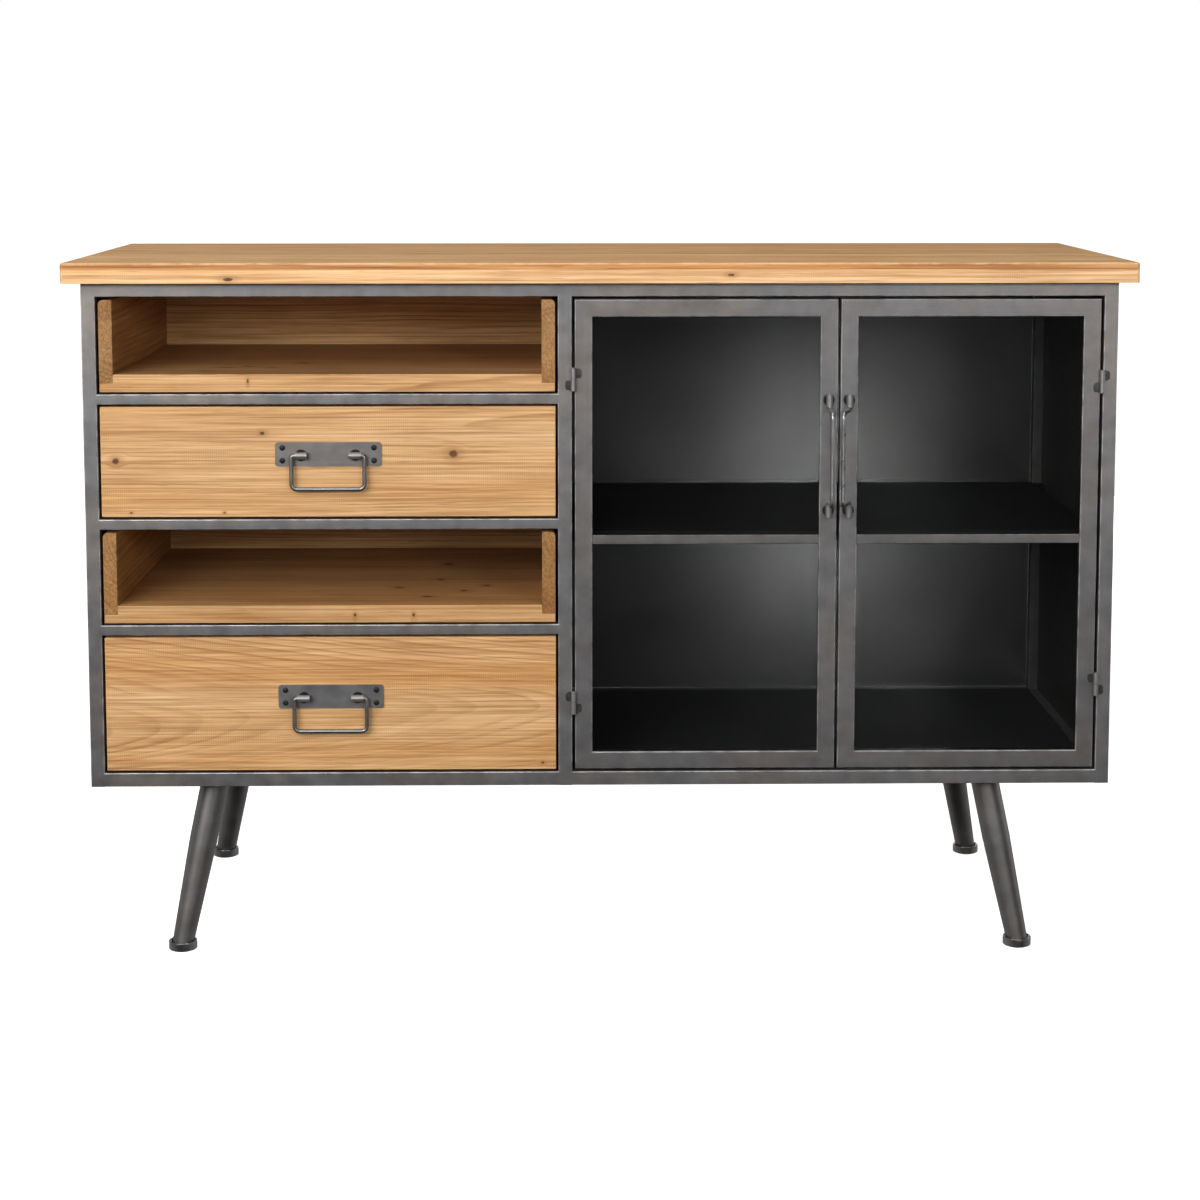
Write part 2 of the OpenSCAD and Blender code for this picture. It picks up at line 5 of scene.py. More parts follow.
import bmesh
import bpy
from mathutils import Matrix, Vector


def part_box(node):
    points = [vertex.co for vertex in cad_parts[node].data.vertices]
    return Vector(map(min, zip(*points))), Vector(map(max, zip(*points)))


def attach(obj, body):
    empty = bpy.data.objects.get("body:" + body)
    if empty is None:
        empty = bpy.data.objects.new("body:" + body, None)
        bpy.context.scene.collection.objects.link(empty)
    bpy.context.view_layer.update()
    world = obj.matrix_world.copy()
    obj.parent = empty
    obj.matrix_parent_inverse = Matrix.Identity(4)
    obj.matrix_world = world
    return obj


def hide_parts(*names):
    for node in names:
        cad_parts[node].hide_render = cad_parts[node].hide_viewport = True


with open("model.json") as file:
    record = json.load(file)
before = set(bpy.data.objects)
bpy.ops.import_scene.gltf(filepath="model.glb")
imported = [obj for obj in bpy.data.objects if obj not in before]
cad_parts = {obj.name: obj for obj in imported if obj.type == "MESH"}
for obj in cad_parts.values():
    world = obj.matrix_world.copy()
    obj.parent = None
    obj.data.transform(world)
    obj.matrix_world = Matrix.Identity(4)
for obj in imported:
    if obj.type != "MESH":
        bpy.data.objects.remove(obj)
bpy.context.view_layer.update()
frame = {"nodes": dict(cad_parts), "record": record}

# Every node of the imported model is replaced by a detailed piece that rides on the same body.

MM = 0.001
RING_WIDTH = 5.2 * MM
BODY = {n: b for b, names in frame["record"]["behaviour"]["bodies"].items() for n in names}
JOINTS = {j["name"]: j for j in frame["record"]["behaviour"]["joints"]}


# --- node graphs ---------------------------------------------------------------------------------


class Graph:
    """A material's node tree, with short calls for the nodes that the materials here are made of."""

    def __init__(self, name):
        self.mat = bpy.data.materials.new(name)
        self.mat.use_nodes = True
        self.tree = self.mat.node_tree
        self.tree.nodes.clear()

    def put(self, socket, value):
        if isinstance(value, bpy.types.NodeSocket):
            self.tree.links.new(value, socket)
        elif value is not None:
            socket.default_value = value

    def node(self, kind, props=None, inputs=None):
        made = self.tree.nodes.new("ShaderNode" + kind)
        for key, value in (props or {}).items():
            setattr(made, key, value)
        for key, value in (inputs or {}).items():
            self.put(made.inputs[key], value)
        return made

    def math(self, operation, a, b=None):
        made = self.node("Math", {"operation": operation})
        self.put(made.inputs[0], a)
        self.put(made.inputs[1], b)
        return made.outputs[0]

    def add(self, a, b):
        return self.math("ADD", a, b)

    def sub(self, a, b):
        return self.math("SUBTRACT", a, b)

    def mul(self, a, b):
        return self.math("MULTIPLY", a, b)

    def swing(self, noise, size):
        """A noise made to swing about zero."""
        return self.mul(self.sub(noise, 0.5), size)

    def vector(self, operation, a, b=None):
        made = self.node("VectorMath", {"operation": operation})
        self.put(made.inputs[0], a)
        self.put(made.inputs[1], b)
        return made.outputs["Value" if operation in ("LENGTH", "DISTANCE", "DOT_PRODUCT") else "Vector"]

    def attribute(self, name, output="Vector"):
        return self.node("Attribute", {"attribute_name": name}).outputs[output]

    def place(self):
        return self.node("TexCoord").outputs["Object"]

    def split(self, vector):
        return self.node("SeparateXYZ", None, {0: vector}).outputs

    def join(self, x, y, z):
        return self.node("CombineXYZ", None, {0: x, 1: y, 2: z}).outputs[0]

    def noise(self, vector, scale=1.0, detail=2.0, rough=0.5, output="Fac"):
        scaled = self.vector("MULTIPLY", vector, scale) if isinstance(scale, tuple) else vector
        made = self.node("TexNoise", None, {"Vector": scaled, "Detail": detail, "Roughness": rough})
        made.inputs["Scale"].default_value = 1.0 if isinstance(scale, tuple) else scale
        return made.outputs[output]

    def step(self, value, low, high, to_low=0.0, to_high=1.0):
        made = self.node("MapRange", {"interpolation_type": "SMOOTHSTEP"})
        for i, v in enumerate((value, low, high, to_low, to_high)):
            self.put(made.inputs[i], v)
        return made.outputs[0]

    def ramp(self, value, stops):
        made = self.node("ValToRGB", None, {0: value})
        steps = made.color_ramp.elements
        while len(steps) < len(stops):
            steps.new(0.5)
        for step, (position, shade) in zip(steps, stops):
            step.position = position
            step.color = (shade, shade, shade, 1) if isinstance(shade, float) else (*shade, 1)
        return made.outputs[0]

    def mix(self, factor, a, b, blend="MIX"):
        made = self.node("Mix", {"data_type": "RGBA", "blend_type": blend})
        self.put(made.inputs[0], factor)
        for i, value in ((6, a), (7, b)):
            self.put(made.inputs[i], (*value, 1) if isinstance(value, tuple) else value)
        return made.outputs[2]

    def gain(self, colour, factor):
        """Colour times a plain factor."""
        return self.mix(1.0, colour, self.join(factor, factor, factor), "MULTIPLY")

    def bump(self, height, distance, strength):
        inputs = {"Strength": strength, "Distance": distance, "Height": height}
        return self.node("Bump", None, inputs).outputs[0]

    def surface(self, colour, roughness, normal, metallic=0.0, specular=0.5):
        inputs = {"Base Color": colour, "Roughness": roughness, "Normal": normal}
        made = self.node("BsdfPrincipled", None, inputs)
        made.inputs["Metallic"].default_value = metallic
        made.inputs["Specular IOR Level"].default_value = specular
        return made.outputs[0]

    def done(self, shader):
        out = self.node("OutputMaterial")
        self.tree.links.new(shader, out.inputs["Surface"])
        return self.mat


# --- materials -----------------------------------------------------------------------------------


def wood(name, early, late, knots=(), contrast=0.7, rim=None, upward_painted_shade=1.0, taper=0.0):
    """Softwood whose growth rings are cylinders along the board's own grain, cut by its faces.

    knots are (centre, radius, length) in the frame, in metres. contrast is how dark the late wood's lines
    are. rim is the height of an upper arris: what lies more than 2 mm below it is more amber. The upward
    shade is painted shade: the share of its colour that an upward face keeps, which darkens the floors of
    the trays. taper is how fast the rings widen along the board, which draws them out into long arches."""
    g = Graph(name)
    grain = g.attribute("grain")
    rings = g.split(g.attribute("ring"))
    place = g.place()
    along = g.split(grain)[0]

    # rings wander along the board, and bulge round the knots
    warp = g.split(g.noise(grain, (0.9, 6.0, 6.0), 2.0, 0.5, "Color"))
    fine = g.split(g.noise(grain, (7.0, 30.0, 30.0), 2.0, 0.5, "Color"))
    across = g.add(rings[1], g.swing(warp[0], 0.05))
    across = g.add(across, g.swing(fine[0], 0.0045))
    deep = g.add(rings[2], g.swing(warp[1], 0.05))
    core = None
    halo = None
    for centre, radius, length in knots:
        away = g.vector("SUBTRACT", place, tuple(centre))
        reach = g.vector("LENGTH", g.vector("MULTIPLY", away, (1 / length, 1 / radius, 1 / radius)))
        push = g.step(reach, 0.4, 4.5, 1.0, 0.0)
        side = g.split(away)[2]
        across = g.sub(across, g.mul(g.mul(side, push), 0.9))
        ragged = g.add(reach, g.mul(g.noise(place, 420.0, 2.0), 0.5))
        this_core = g.step(ragged, 0.85, 1.45, 1.0, 0.0)
        this_halo = g.step(reach, 0.8, 3.4, 1.0, 0.0)
        core = this_core if core is None else g.math("MAXIMUM", core, this_core)
        halo = this_halo if halo is None else g.math("MAXIMUM", halo, this_halo)

    radius = g.math("SQRT", g.add(g.mul(across, across), g.mul(deep, deep)))
    radius = g.add(radius, g.mul(rings[0], taper))
    uneven = g.noise(g.join(radius, 0.0, 0.0), 75.0, 2.0)
    phase = g.add(g.math("DIVIDE", radius, RING_WIDTH), g.mul(uneven, 3.0))
    band = g.ramp(g.math("FRACT", phase), ((0.0, 0.04), (0.55, 0.15), (0.86, 1.0), (0.95, 0.95), (1.0, 0.04)))
    fade = g.step(g.noise(grain, (1.6, 26.0, 26.0), 3.0), 0.36, 0.66, 0.25, 1.0)
    lines = g.mul(g.mul(band, fade), contrast)

    # broad tone bands, then fibres, dark checks and saw marks
    broad = g.noise(grain, (0.9, 21.0, 21.0), 3.0, 0.6)
    streak = g.noise(grain, (5.0, 260.0, 260.0), 3.0, 0.6)
    fibre = g.noise(grain, (7.0, 420.0, 420.0), 4.0, 0.65)
    dash = g.step(g.noise(grain, (17.0, 850.0, 850.0), 2.0, 0.6), 0.64, 0.76)
    check = g.step(g.noise(grain, (4.0, 240.0, 240.0), 2.0, 0.5), 0.71, 0.78)
    thread = g.step(g.noise(grain, (3.0, 480.0, 480.0), 3.0, 0.55), 0.56, 0.64)
    saw = g.math("SINE", g.add(g.mul(along, 2600.0), g.mul(fine[1], 9.0)))
    patch = g.step(g.noise(grain, (9.0, 26.0, 26.0), 2.0), 0.5, 0.66)
    saw = g.mul(g.mul(saw, patch), g.noise(place, 260.0, 2.0))

    colour = g.mix(lines, early, late)
    amber = tuple(c * k for c, k in zip(early, (0.90, 0.80, 0.66)))
    colour = g.mix(g.step(broad, 0.46, 0.68, 0.0, 1.0), colour, g.mix(lines, amber, late))
    pale = tuple(min(1.0, c * k) for c, k in zip(early, (1.07, 1.13, 1.28)))
    colour = g.mix(g.step(broad, 0.48, 0.30, 0.0, 0.7), colour, pale)
    tone = g.add(g.swing(fibre, 1.7), 1.0)
    tone = g.add(tone, g.swing(streak, 1.0))
    blotch = g.noise(place, (11.0, 11.0, 30.0), 3.0, 0.6)
    tone = g.add(tone, g.swing(blotch, 0.35))
    tone = g.add(tone, g.mul(saw, 0.16))
    tone = g.add(tone, g.mul(g.attribute("tint", "Fac"), 0.10))
    warmed = g.join(g.math("POWER", tone, 0.75), tone, g.math("POWER", tone, 1.4))
    colour = g.mix(1.0, colour, warmed, "MULTIPLY")
    dark = tuple(c * k for c, k in zip(late, (0.42, 0.34, 0.28)))
    colour = g.mix(g.mul(dash, 0.6), colour, dark)
    colour = g.mix(g.mul(check, 0.55), colour, dark)
    colour = g.mix(g.mul(thread, 0.42), colour, late)
    if core is not None:
        colour = g.mix(g.mul(halo, 0.42), colour, late)
        browns = ((0.3, (0.050, 0.020, 0.009)), (0.7, (0.16, 0.070, 0.028)))
        colour = g.mix(g.mul(core, 0.92), colour, g.ramp(g.noise(place, 300.0, 3.0), browns))

    # painted shade: upward faces keep only part of their colour
    if upward_painted_shade != 1.0:
        upward = g.split(g.node("NewGeometry").outputs["Normal"])[2]
        colour = g.gain(colour, g.step(upward, 0.6, 0.9, 1.0, upward_painted_shade))
    if rim is not None:
        below = g.step(g.split(place)[2], rim - 2.0 * MM, rim - 1.2 * MM, 1.0, 0.0)
        colour = g.mix(below, colour, g.mix(1.0, colour, (0.86, 0.68, 0.48), "MULTIPLY"))

    # sawn ends drink more oil; arrises are rubbed paler in places
    end = g.attribute("end", "Fac")
    pores = g.noise(place, 900.0, 2.0)
    end_tone = g.add(0.58, g.mul(pores, 0.55))
    colour = g.mix(g.mul(end, 0.8), colour, g.gain(colour, end_tone))
    rounded_edge = g.mul(g.attribute("rounded_edge", "Fac"), g.step(g.noise(place, 55.0, 3.0), 0.42, 0.62, 0.1, 0.7))
    colour = g.mix(rounded_edge, colour, pale)

    height = g.add(g.mul(fibre, 0.5), g.mul(band, -0.18))
    height = g.sub(height, g.add(g.mul(dash, 0.35), g.mul(check, 0.8)))
    height = g.add(height, g.mul(saw, 0.35))
    height = g.add(height, g.mul(g.mul(pores, end), 0.5))
    shine = g.add(0.46, g.mul(fibre, 0.16))
    height = g.sub(height, g.mul(thread, 0.4))
    return g.done(g.surface(colour, shine, g.bump(height, 0.35 * MM, 0.6), specular=0.34))


def lacquered_steel(name, cool, warm, metallic, rough, marks=1.0, inside=None):
    """Bare mill steel under clear lacquer: cloudy, faintly drawn along each tube, with wear and a painted
    highlight on its rounded corners.

    marks is how strong its specks and rust bloom are, and inside is the share of its colour that is left on
    the faces that look into the cabinet: painted shade."""
    g = Graph(name)
    place = g.place()
    grain = g.attribute("grain")
    cloud = g.noise(place, 9.0, 4.0, 0.6)
    small = g.noise(place, 46.0, 4.0, 0.6)
    drawn = g.noise(grain, (7.0, 620.0, 620.0), 3.0, 0.6)
    speck = g.step(g.noise(place, 330.0, 2.0, 0.5), 0.70, 0.78)
    rust = g.step(g.noise(place, 21.0, 5.0, 0.7), 0.62, 0.74)
    colour = g.mix(g.step(cloud, 0.42, 0.66), cool, warm)
    tone = g.add(g.swing(small, 0.75), 1.0)
    tone = g.add(tone, g.swing(drawn, 0.22))
    colour = g.gain(colour, tone)
    dull = tuple(c * 0.45 for c in warm)
    colour = g.mix(g.mul(speck, 0.55 * marks), colour, dull)
    brown = tuple(c * k for c, k in zip(warm, (1.0, 0.78, 0.62)))
    colour = g.mix(g.mul(rust, 0.35 * marks), colour, brown)
    # the rounded corners: wear, and a painted highlight along them
    bright = tuple(min(1.0, c * 2.4) for c in cool)
    rubbed_and_lit = g.mul(g.attribute("rounded_edge", "Fac"), g.step(small, 0.40, 0.60, 0.25, 0.95))
    colour = g.mix(rubbed_and_lit, colour, bright)
    # painted shade: faces that look into the cabinet keep only part of their colour
    if inside is not None:
        level = g.vector("MULTIPLY", place, (1.0, 1.0, 0.0))
        outward = g.vector("DOT_PRODUCT", g.node("NewGeometry").outputs["Normal"], level)
        colour = g.gain(colour, g.step(outward, -0.08, -0.02, inside, 1.0))
    shine = g.add(rough - 0.10, g.mul(small, 0.20))
    height = g.add(g.mul(small, 0.6), g.mul(drawn, 0.25))
    height = g.sub(height, g.mul(speck, 0.6 * marks))
    return g.done(g.surface(colour, shine, g.bump(height, 0.12 * MM, 0.5), metallic=metallic, specular=0.5))


def sheet_steel(name, base, metallic, rough, specular=0.5):
    """Dark satin sheet, clouded by the rolling mill and never quite flat."""
    g = Graph(name)
    place = g.place()
    cloud = g.noise(place, (5.0, 5.0, 9.0), 4.0, 0.6)
    small = g.noise(place, 70.0, 3.0, 0.6)
    tone = g.add(0.70, g.mul(cloud, 0.6))
    tone = g.add(tone, g.swing(small, 0.25))
    colour = g.gain(base, tone)
    lit = tuple(c * 2.4 for c in base)
    colour = g.mix(g.mul(g.attribute("rounded_edge", "Fac"), g.step(small, 0.4, 0.6, 0.2, 0.8)), colour, lit)
    shine = g.add(rough - 0.08, g.mul(cloud, 0.16))
    waves = g.bump(g.noise(place, 2.6, 1.0), 0.5 * MM, 0.5)
    return g.done(g.surface(colour, shine, waves, metallic=metallic, specular=specular))


def blackened(name, base, rough=0.45, bare=None):
    """Small blackened fittings, brighter on their corners from wear and a painted highlight; in front of y =
    bare they are bare steel.
    """
    g = Graph(name)
    place = g.place()
    small = g.noise(place, 130.0, 4.0, 0.65)
    fine = g.noise(place, 900.0, 2.0)
    colour = g.mix(g.step(small, 0.4, 0.65), base, tuple(c * 1.7 for c in base))
    if bare is not None:
        front = g.step(g.split(place)[1], bare - 0.4 * MM, bare + 0.4 * MM, 1.0, 0.0)
        colour = g.mix(front, colour, g.mix(small, (0.24, 0.233, 0.228), (0.34, 0.332, 0.325)))
    colour = g.gain(colour, g.add(0.8, g.mul(fine, 0.4)))
    # the rounded corners: wear, and a painted highlight along them
    rubbed_and_lit = g.mul(g.attribute("rounded_edge", "Fac"), g.step(small, 0.35, 0.6, 0.1, 0.7))
    colour = g.mix(rubbed_and_lit, colour, tuple(min(1.0, c * 4.0) for c in base))
    shine = g.add(rough - 0.1, g.mul(small, 0.22))
    return g.done(g.surface(colour, shine, g.bump(fine, 0.05 * MM, 0.4), metallic=0.7))


def zinc_plate(name):
    """Bright plating with a faint spangle."""
    g = Graph(name)
    place = g.place()
    cells = g.node("TexVoronoi", None, {"Vector": place, "Scale": 500.0}).outputs["Color"]
    shade = g.add(0.34, g.mul(g.split(cells)[0], 0.16))
    colour = g.join(shade, shade, g.mul(shade, 0.94))
    shine = g.add(0.30, g.mul(g.noise(place, 200.0), 0.15))
    return g.done(g.surface(colour, shine, g.bump(g.noise(place, 1500.0), 0.03 * MM, 0.4), metallic=0.9))


def dull_black(name, base, rough):
    """Moulded rubber or plastic with a fine sand-blasted skin and a little dust."""
    g = Graph(name)
    place = g.place()
    grit = g.noise(place, 1400.0, 3.0, 0.6)
    dust = g.step(g.noise(place, 60.0, 4.0, 0.6), 0.45, 0.7)
    colour = g.mix(g.mul(dust, 0.35), base, tuple(c * 2.6 + 0.01 for c in base))
    shine = g.add(rough, g.mul(dust, 0.12))
    return g.done(g.surface(colour, shine, g.bump(grit, 0.06 * MM, 0.5), specular=0.3))


def window_glass(name):
    """Clear float glass: a faint green tint, faint smears, and a sheen that grows towards grazing angles."""
    g = Graph(name)
    smear = g.noise(g.place(), (6.0, 6.0, 2.0), 4.0, 0.7)
    tint = g.mix(g.step(smear, 0.3, 0.8), (0.94, 0.948, 0.944), (0.91, 0.922, 0.917))
    clear = g.node("BsdfTransparent", None, {"Color": tint})
    sheen = g.node("BsdfGlossy", None, {"Color": tint, "Roughness": g.step(smear, 0.4, 0.8, 0.24, 0.34)})
    amount = g.mul(g.node("Fresnel", None, {"IOR": 1.45}).outputs[0], 0.09)
    return g.done(g.node("MixShader", None, {0: amount, 1: clear.outputs[0], 2: sheen.outputs[0]}).outputs[0])


# --- mesh helpers --------------------------------------------------------------------------------


def cad_mesh(node):
    """A CAD node's own mesh in the frame, welded, with its flat faces made whole again."""
    made = bmesh.new()
    source = frame["nodes"][node]
    made.from_mesh(source.data)
    made.transform(source.matrix_world)
    bmesh.ops.remove_doubles(made, verts=made.verts, dist=0.01 * MM)
    bmesh.ops.dissolve_limit(made, angle_limit=math.radians(0.4), verts=made.verts, edges=made.edges)
    made.faces.layers.float.new("rounded_edge")
    return made


def islands(bm):
    """The separate parts of a mesh, each a list of vertices."""
    seen = set()
    parts = []
    for first in bm.verts:
        if first in seen:
            continue
        seen.add(first)
        stack, part = [first], []
        while stack:
            v = stack.pop()
            part.append(v)
            for e in v.link_edges:
                w = e.other_vert(v)
                if w not in seen:
                    seen.add(w)
                    stack.append(w)
        parts.append(part)
    return parts


def box_corners(node):
    """A node's lowest and highest corners."""
    low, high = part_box(node)
    return Vector(low), Vector(high)


def box_of(verts):
    """The lowest and highest corners of some vertices."""
    return (
        Vector([min(v.co[i] for v in verts) for i in range(3)]),
        Vector([max(v.co[i] for v in verts) for i in range(3)]),
    )


def axes_by_length(low, high):
    """The three axes of a part's box, longest first."""
    return sorted(range(3), key=lambda i: low[i] - high[i])


def round_edges(bm, widths, segments):
    """Rounds edges. widths(edge) gives a width in millimetres or None; wider ones are cut first."""
    done = set()
    while True:
        wanted = {}
        for e in bm.edges:
            if len(e.link_faces) == 2 and e.calc_face_angle(0.0) > math.radians(28) and e.is_convex:
                width = widths(e)
                if width and width not in done:
                    wanted.setdefault(width, []).append(e)
        if not wanted:
            return
        width = max(wanted)
        done.add(width)
        rounded_edge = bm.faces.layers.float["rounded_edge"]
        cut = bmesh.ops.bevel(
            bm, geom=wanted[width], offset=width * MM, offset_type="OFFSET", segments=segments,
            profile=0.5, affect="EDGES", clamp_overlap=True,
        )
        for f in cut["faces"]:
            f[rounded_edge] = 1.0


def lengthen(bm, gap):
    """Moves both ends of each member outwards, over the gap that keeps the CAD solids apart."""
    for part in islands(bm):
        low, high = box_of(part)
        long = axes_by_length(low, high)[0]
        middle = (low[long] + high[long]) / 2
        for v in part:
            v.co[long] += gap if v.co[long] > middle else -gap


def direction(e):
    """An edge's unit direction."""
    return (e.verts[1].co - e.verts[0].co).normalized()


def long_edges(width, least=8.0):
    """Every sharp edge longer than least millimetres."""
    return lambda e: width if e.calc_length() > least * MM else None


def tube_edges(width):
    """Only the edges that run along a tube, so that its welded ends stay flush."""
    return lambda e: width if e.calc_length() > 60 * MM else None


def finish(bm, name, node, material, heart=None):
    """Writes the mesh with its grain attributes as a piece that stands for the CAD node.

    heart is where the tree's middle runs: a share of the board's width, and a depth behind it in metres."""
    rng = random.Random(name)
    grain = bm.verts.layers.float_vector.new("grain")
    ring = bm.verts.layers.float_vector.new("ring")
    tint = bm.verts.layers.float.new("tint")
    end = bm.faces.layers.float.new("end")
    bm.normal_update()
    for part in sorted(islands(bm), key=lambda p: tuple(round(c, 4) for c in box_of(p)[0])):
        low, high = box_of(part)
        i, j, k = axes_by_length(low, high)
        shift = Vector((rng.uniform(0, 40), rng.uniform(0, 40), rng.uniform(0, 40)))
        width = high[j] - low[j]
        across = low[j] + width * rng.uniform(-0.25, 1.25)
        deep = low[k] - rng.uniform(0.02, 0.08) if rng.random() < 0.5 else high[k] + rng.uniform(0.02, 0.08)
        shade = rng.uniform(-1, 1)
        if heart:
            across, deep = low[j] + width * heart[0], high[k] + heart[1]
        for v in part:
            local = Vector((v.co[i], v.co[j], v.co[k]))
            v[grain] = local + shift
            v[ring] = Vector((v.co[i], v.co[j] - across, v.co[k] - deep))
            v[tint] = shade
        for f in {f for v in part for f in v.link_faces}:
            f[end] = 1.0 if abs(f.normal[i]) > 0.7 else 0.0
    data = bpy.data.meshes.new(name)
    bm.to_mesh(data)
    bm.free()
    data.shade_smooth()
    data.set_sharp_from_angle(angle=math.radians(40))
    data.materials.append(material)
    piece = bpy.data.objects.new(name, data)
    bpy.context.collection.objects.link(piece)
    even = piece.modifiers.new("even normals", "WEIGHTED_NORMAL")
    even.keep_sharp = True
    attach(piece, BODY[node])
    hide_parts(node)


def dress(name, node, widths, segments, material, heart=None, gap=0.0):
    """The CAD node's own shape, lengthened over a gap and with rounded edges, as its piece."""
    bm = cad_mesh(node)
    if gap:
        lengthen(bm, gap)
    round_edges(bm, widths, segments)
    finish(bm, name, node, material, heart)


def sweep(points, radius, normal, sides=20):
    """A round rod along a flat path whose plane has that normal."""
    bm = bmesh.new()
    bm.faces.layers.float.new("rounded_edge")
    rings = []
    for n, p in enumerate(points):
        back = points[max(n - 1, 0)]
        ahead = points[min(n + 1, len(points) - 1)]
        side = normal.cross((ahead - back).normalized())
        ring = []
        for k in range(sides):
            a = 2 * math.pi * k / sides
            ring.append(bm.verts.new(p + radius * (math.cos(a) * side + math.sin(a) * normal)))
        rings.append(ring)
    for a, b in zip(rings, rings[1:]):
        for k in range(sides):
            bm.faces.new((a[k], a[(k + 1) % sides], b[(k + 1) % sides], b[k]))
    bm.faces.new(rings[0])
    bm.faces.new(reversed(rings[-1]))
    bmesh.ops.recalc_face_normals(bm, faces=bm.faces)
    return bm


def rounded_path(corners, radii, steps=7):
    """A path through the corners, with an arc of that radius at each inner corner."""
    path = [corners[0]]
    for before, corner, after, radius in zip(corners, corners[1:], corners[2:], radii):
        into = (corner - before).normalized()
        out = (after - corner).normalized()
        start = corner - into * radius
        for n in range(steps + 1):
            t = n / steps * math.pi / 2
            path.append(start + into * radius * math.sin(t) + out * radius * (1 - math.cos(t)))
    path.append(corners[-1])
    return path


# --- make the materials --------------------------------------------------------------------------

EARLY = (0.70, 0.400, 0.170)
LATE = (0.40, 0.168, 0.052)
DIM = tuple(c * k for c, k in zip(EARLY, (0.80, 0.76, 0.70)))


def knot(node, share, radius, length, face=True):
    """A knot at a share of the node's box, on its front or on its upper side."""
    low, high = box_corners(node)
    size = high - low
    at = Vector((low.x + size.x * share[0], low.y, low.z + size.z * share[1]))
    if not face:
        at = Vector((at.x, low.y + size.y * share[1], high.z))
    return at, radius * MM, length * MM


M_TOP = wood("fir_top", (0.74, 0.445, 0.205), LATE, contrast=0.6, rim=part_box("top_boards")[1][2])
M_CORE = wood("fir_core", (0.88, 0.52, 0.245), LATE, contrast=0.25, knots=[
    knot("top_core", (0.155, 0.3), 2.2, 6.0),
    knot("top_core", (0.62, 0.6), 1.6, 4.0)])
M_TRAY_UP = wood("fir_tray_upper", EARLY, LATE, upward_painted_shade=0.68, knots=[
    knot("tray_upper_bottom", (0.325, 0.62), 2.4, 1.3),
    knot("tray_upper_bottom", (0.22, 0.10), 3.0, 9.0, False),
    knot("tray_upper_bottom", (0.26, 0.20), 4.0, 8.0, False),
    knot("tray_upper_bottom", (0.305, 0.24), 4.0, 7.0, False),
    knot("tray_upper_bottom", (0.36, 0.20), 3.0, 6.0, False),
    knot("tray_upper_bottom", (0.42, 0.34), 4.0, 7.0, False)])
M_TRAY_LOW = wood("fir_tray_lower", DIM, LATE, upward_painted_shade=0.85, knots=[
    knot("tray_lower_bottom", (0.555, 0.45), 2.2, 1.6),
    knot("tray_lower_bottom", (0.685, 0.45), 2.2, 1.6),
    knot("tray_lower_bottom", (0.64, 0.27), 5.0, 6.0, False),
    knot("tray_lower_bottom", (0.71, 0.13), 4.0, 7.0, False),
    knot("tray_lower_bottom", (0.73, 0.40), 6.0, 5.0, False),
    knot("tray_lower_bottom", (0.79, 0.22), 5.0, 5.0, False),
    knot("tray_lower_bottom", (0.84, 0.30), 5.0, 5.0, False),
    knot("tray_lower_bottom", (0.74, 0.66), 8.0, 6.0, False)])
M_DRAWER_UP = wood("fir_drawer_upper", EARLY, LATE, contrast=0.6, knots=[
    knot("drawer_upper_front", (0.033, 0.51), 3.6, 4.2),
    knot("drawer_upper_front", (0.775, 0.57), 4.6, 5.2),
    knot("drawer_upper_front", (0.355, 0.76), 2.0, 3.0),
    knot("drawer_upper_front", (0.065, 0.04), 1.2, 1.6),
    knot("drawer_upper_front", (0.27, 0.04), 1.2, 1.6)])
M_DRAWER_LOW = wood("fir_drawer_lower", EARLY, LATE, contrast=0.8, taper=0.085, knots=[
    knot("drawer_lower_front", (0.97, 0.05), 1.4, 2.0)])
M_SIDE = wood("fir_sides", (0.44, 0.224, 0.072), (0.25, 0.102, 0.031), contrast=0.9)
M_REAR = wood("fir_rear", (0.70, 0.410, 0.162), (0.38, 0.172, 0.056), contrast=0.8)
M_INNER = wood("fir_inside", (0.60, 0.370, 0.185), (0.33, 0.165, 0.064), contrast=0.8)
M_STEEL = lacquered_steel("lacquered_steel", (0.218, 0.214, 0.215), (0.245, 0.222, 0.206), 0.88, 0.45)
# the door steel and the bar steel of the muntins are the frame's steel scaled darker: painted shade
M_DOOR = lacquered_steel("door_steel_painted_shade", (0.192, 0.188, 0.189), (0.216, 0.196, 0.182), 0.88, 0.45)
M_LEG = lacquered_steel("leg_steel", (0.168, 0.161, 0.155), (0.186, 0.168, 0.154), 0.88, 0.48)
M_BAR = lacquered_steel("bar_steel_painted_shade", (0.160, 0.157, 0.157), (0.180, 0.163, 0.151), 0.88, 0.45)
# its faces that look into the cabinet carry painted shade
M_SHELL = lacquered_steel("shell_steel", (0.218, 0.214, 0.215), (0.245, 0.222, 0.206), 0.88, 0.45, inside=0.3)
M_SHEET = sheet_steel("dark_sheet", (0.085, 0.084, 0.084), 0.90, 0.205)
M_BLACK = blackened("blackened_steel", (0.030, 0.029, 0.028))
M_POST = blackened("barrel_steel", (0.014, 0.013, 0.013), 0.40, -196.6 * MM)
M_KNUCKLE = blackened("knuckle_steel", (0.050, 0.047, 0.044), 0.42, -195.2 * MM)
M_ROD = lacquered_steel("handle_rod", (0.25, 0.248, 0.25), (0.28, 0.262, 0.245), 0.9, 0.36)
M_GRIP = lacquered_steel("worn_rod", (0.42, 0.415, 0.41), (0.44, 0.42, 0.39), 0.95, 0.30, 0.15)
M_CUP = lacquered_steel("cup_steel", (0.20, 0.198, 0.198), (0.23, 0.208, 0.190), 0.9, 0.33)
